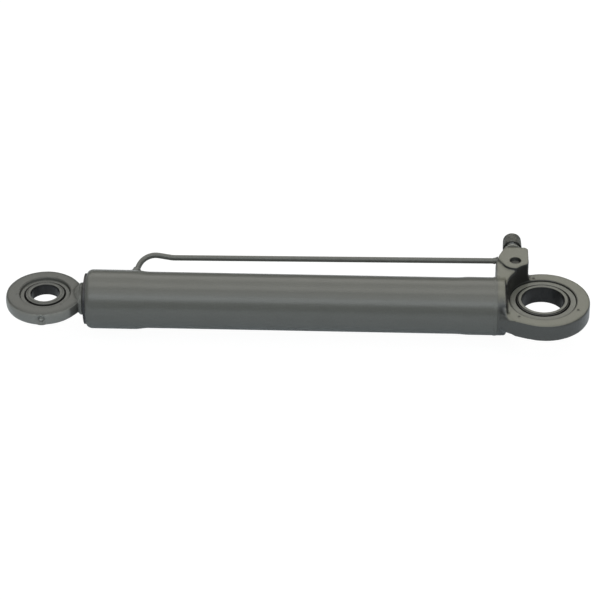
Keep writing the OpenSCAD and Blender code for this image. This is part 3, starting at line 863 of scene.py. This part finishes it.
def cap():
    """Ribbed, slightly domed screw cap; its open mouth faces the lug."""
    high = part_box("port_cap")[1]
    centre = middle("port_cap")
    r, length = half_width("port_cap", 0), 2 * half_width("port_cap", 1)
    bore = half_width("port_stud", 0) + 0.1 * MM
    ribs, rib_depth = 30, 0.35 * MM
    wall, mouth_depth, bore_depth = 1.4 * MM, 4.5 * MM, 12.4 * MM
    taper = 0.6 * MM

    def ribbed(radius, h, share):
        def row(a):
            return radius - share * rib_depth * (0.5 - 0.5 * math.cos(ribs * a)) - taper * h / length, h
        return row

    rim = [(r - wall, mouth_depth), (r - wall, 0.3 * MM), (r - wall + 0.3 * MM, 0)]
    rim += [(r - 0.5 * MM, 0), (r - 0.1 * MM, 0.4 * MM)]
    side = [ribbed(r, h * MM, s) for h, s in ((1.4, 0), (1.9, 1), (5, 1), (9, 1), (12.0, 1), (12.6, 0))]
    crown_r, dome = 2.0 * MM, 0.7 * MM
    arc = [TURN / 4 * s / 8 for s in range(9)]
    top_r = r - taper
    crown = [(top_r - crown_r * (1 - math.cos(a)), length - dome - crown_r * (1 - math.sin(a)))
             for a in arc]
    top = [((top_r - crown_r) * f, length - dome * f * f) for f in (0.75, 0.5, 0.25)]
    inside = [(0, bore_depth), (bore, bore_depth), (bore, mouth_depth)]
    rows = inside + rim + side + crown + top + [(0, length)]
    place = moved_to((centre.x, high.y, centre.z), TOWARDS_MINUS_Y)
    return revolved("port_screw_cap", rows, place, 240, closed=False)


def plug():
    """Recessed port plug with a chamfered rim and a dished face."""
    low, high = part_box("port_plug")
    centre = middle("port_plug")
    r, length = half_width("port_plug", 0), high.z - low.z
    rim, dish = 1.0 * MM, 0.8 * MM
    rows = [(0, 0), (r - 0.8 * MM, 0), (r, 0.8 * MM)]
    rows += [(r, length - 0.5 * MM), (r - 0.5 * MM, length), (r - rim, length)]
    rows += [((r - rim) * f, length - dish * (1 - f * f)) for f in (0.9, 0.75, 0.5, 0.25)]
    rows += [(0, length - dish)]
    return revolved("port_dished_plug", rows, moved_to((centre.x, centre.y, low.z)), 96, closed=False)


def nipple():
    """Flush grease nipple: a hexagon seat with a ball head inside the rod eye's rim."""
    low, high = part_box("grease_nipple")
    r, length = half_width("grease_nipple", 0), high.y - low.y
    flats, shank_r = 5 * MM, 2.2 * MM
    seat, top = length - 4.5 * MM, length - 2.2 * MM

    def hexagonal(h):
        return lambda a: (min(r, hexagon(flats, a)), h)

    rows = [(0, 0), (shank_r, 0), (shank_r, seat), hexagonal(seat), hexagonal(top)]
    rows += [(2.0 * MM, length - 1.9 * MM), (1.5 * MM, length - 1.5 * MM), (1.7 * MM, length - 0.7 * MM)]
    rows += [(1.3 * MM, length), (0.5 * MM, length)]
    rows += [(0.45 * MM, length - 0.5 * MM), (0, length - 0.7 * MM)]
    place = moved_to((ROD_EYE.x, low.y, ROD_EYE.z), TOWARDS_Y)
    return revolved("grease_nipple_head", rows, place, 72, closed=False)


def staking_marks(centre, ring_r, angles, share):
    """Dirt and painted shade in the punch marks that stand at these angles (degrees) round a bearing."""
    turns = [math.radians(a) for a in angles]
    spots = [centre + Vector((math.cos(t), math.sin(t), 0)) * ring_r for t in turns]
    return [(spot, PUNCH_DIRT_AND_SHADE_R, share, False) for spot in spots]


def make_finishes():
    """Every finish of the cylinder, by a short name."""
    base_seat_r, rod_seat_r = half_width("base_bearing_race", 0), half_width("rod_bearing_race", 0)
    base_marks = staking_marks(BASE_EYE, base_seat_r + BASE_PUNCH_OUT, BASE_PUNCH_ANGLES, 0.8)
    rod_marks = staking_marks(ROD_EYE, rod_seat_r + ROD_PUNCH_OUT, ROD_PUNCH_ANGLES, 0.4)
    # Painted shade in the hollows where the rod eye meets its neck
    neck_corner_shade = [(ROD_EYE + Vector((-33 * MM, side * 22 * MM, 0)), 9 * MM, 0.75, True)
                    for side in (-1, 1)]
    return {
        "tube": paint("tube_paint", PAINT),
        # Forging: painted light on faces that look up; painted shade on walls, in the recess, round the
        # seat and in hollows
        "forging": paint("forged_paint", CAST_SHADED_WALLS, CAST_LIT_TOP, fade_to=(45 * MM, 51 * MM),
                         recess_shade=(BASE_EYE, RECESS_R, RECESS_FLOOR), seat=(BASE_EYE, base_seat_r, 0.75),
                         dirt_and_shade=base_marks, cast=CAST_GRAIN, edge=0.4),
        # Rod eye: painted light on its rim; painted shade on faces that look up, round the seat, at the
        # neck and in hollows
        "rod_eye": paint("rod_eye_paint", EYE_LIT_RIM, EYE_SHADED_TOP, seat=(ROD_EYE, rod_seat_r, 0.4),
                         dirt_and_shade=rod_marks + neck_corner_shade, cast=CAST_GRAIN, edge=0.4, gloss=0.35),
        "weld": paint("weld_paint", PAINT, cast=0.03 * MM),
        "base_ring": bearing_finish("base_ring_finish", BASE_EYE, (0.150, 0.152, 0.132)),
        "rod_ring": bearing_finish("rod_ring_finish", ROD_EYE, (0.100, 0.103, 0.095)),
        "stud": paint("stud_paint", (0.210, 0.212, 0.192), cast=0.02 * MM),
        # The nipple takes the rod eye rim's painted-light tone
        "nipple": paint("nipple_paint", shade_of(EYE_LIT_RIM, 1.1), cast=0.02 * MM, edge=0.5),
        "zinc": turned_steel("zinc_plate", (0.30, 0.30, 0.28), (0.42, 0.42, 0.39), 0.38, 1),
        "piston": turned_steel("black_steel", (0.035, 0.035, 0.037), (0.075, 0.075, 0.078), 0.42, 0),
        "plug": turned_steel("plug_steel", (0.10, 0.10, 0.095), (0.16, 0.16, 0.15), 0.45, 2,
                             (PORT.x, PORT.y, 0)),
        "rubber": seal("black_rubber", (0.018, 0.018, 0.019), 0.55),
        "guide": seal("tan_guide", (0.30, 0.22, 0.11), 0.5),
        "chrome": hard_chrome("rod_chrome"),
        "cap": cap_plastic("cap_plastic"),
        "gland": gland_finish("gland_steel"),
    }


def make_bearings(finishes):
    """The two spherical bearings: an outer ring fixed in each eye and an inner ring that tilts."""
    race = outer_ring("base_bearing_outer_ring", "base_bearing_race", BASE_EYE,
                      sphere_r=29.0 * MM, mouth=29.2 * MM, depth=1.8 * MM, sunk=0.4 * MM)
    show(race, "barrel", "base_bearing_race", finishes["base_ring"])
    ball = inner_ring("base_bearing_inner_ring", "base_bearing_ball", BASE_EYE, BASE_PIN_R, 26.1 * MM)
    show(ball, "base_ball", "base_bearing_ball", finishes["base_ring"])
    race = outer_ring("rod_bearing_outer_ring", "rod_bearing_race", ROD_EYE,
                      sphere_r=21.25 * MM, mouth=22.4 * MM, depth=1.6 * MM, sunk=1.3 * MM)
    show(race, "rod_assembly", "rod_bearing_race", finishes["rod_ring"])
    ball = inner_ring("rod_bearing_inner_ring", "rod_bearing_ball", ROD_EYE, ROD_PIN_R, 18.2 * MM)
    show(ball, "rod_ball", "rod_bearing_ball", finishes["rod_ring"])


def make_pieces(finishes):
    """Visual pieces that stand for CAD nodes."""
    show(base_forging(), "barrel", "base_forging", finishes["forging"])
    show(rod_eye(), "rod_assembly", "rod_eye", finishes["rod_eye"])
    show(weld_bead(), "barrel", "base_weld", finishes["weld"])
    for node, grow in (("pipe_foot_weld", 1.0 * MM), ("pipe_lug_weld", 0.2 * MM)):
        bead = cast_copy(node + "_bead", node, 0.3 * MM, 12, [], CAST_WAVE, grow=grow)
        show(bead, "barrel", node, finishes["weld"])
    make_bearings(finishes)
    show(stud(), "barrel", "port_stud", finishes["stud"])
    show(washer(), "barrel", "stud_seal", finishes["stud"])
    show(cap(), "cap", "port_cap", finishes["cap"])
    show(plug(), "barrel", "port_plug", finishes["plug"])
    show(nipple(), "rod_assembly", "grease_nipple", finishes["nipple"])


def dress_nodes(finishes):
    """Finishes for the CAD nodes that are shown as they are."""
    kept = {
        "barrel_tube": "tube", "transfer_pipe": "tube", "rod_eye_weld": "weld", "gland": "gland",
        "gland_oring": "rubber", "gland_backup_ring": "guide", "rod_guide_ring": "guide",
        "rod_seal": "rubber", "rod_wiper": "rubber", "rod": "chrome", "piston": "piston",
        "piston_nut": "zinc", "piston_oring": "rubber", "piston_seal": "rubber",
        "piston_wear_rings": "guide",
    }
    for node, finish in kept.items():
        nodes[node].data.materials.clear()
        nodes[node].data.materials.append(finishes[finish])


make_camera()
make_light()
make_floor()
all_finishes = make_finishes()
make_pieces(all_finishes)
dress_nodes(all_finishes)
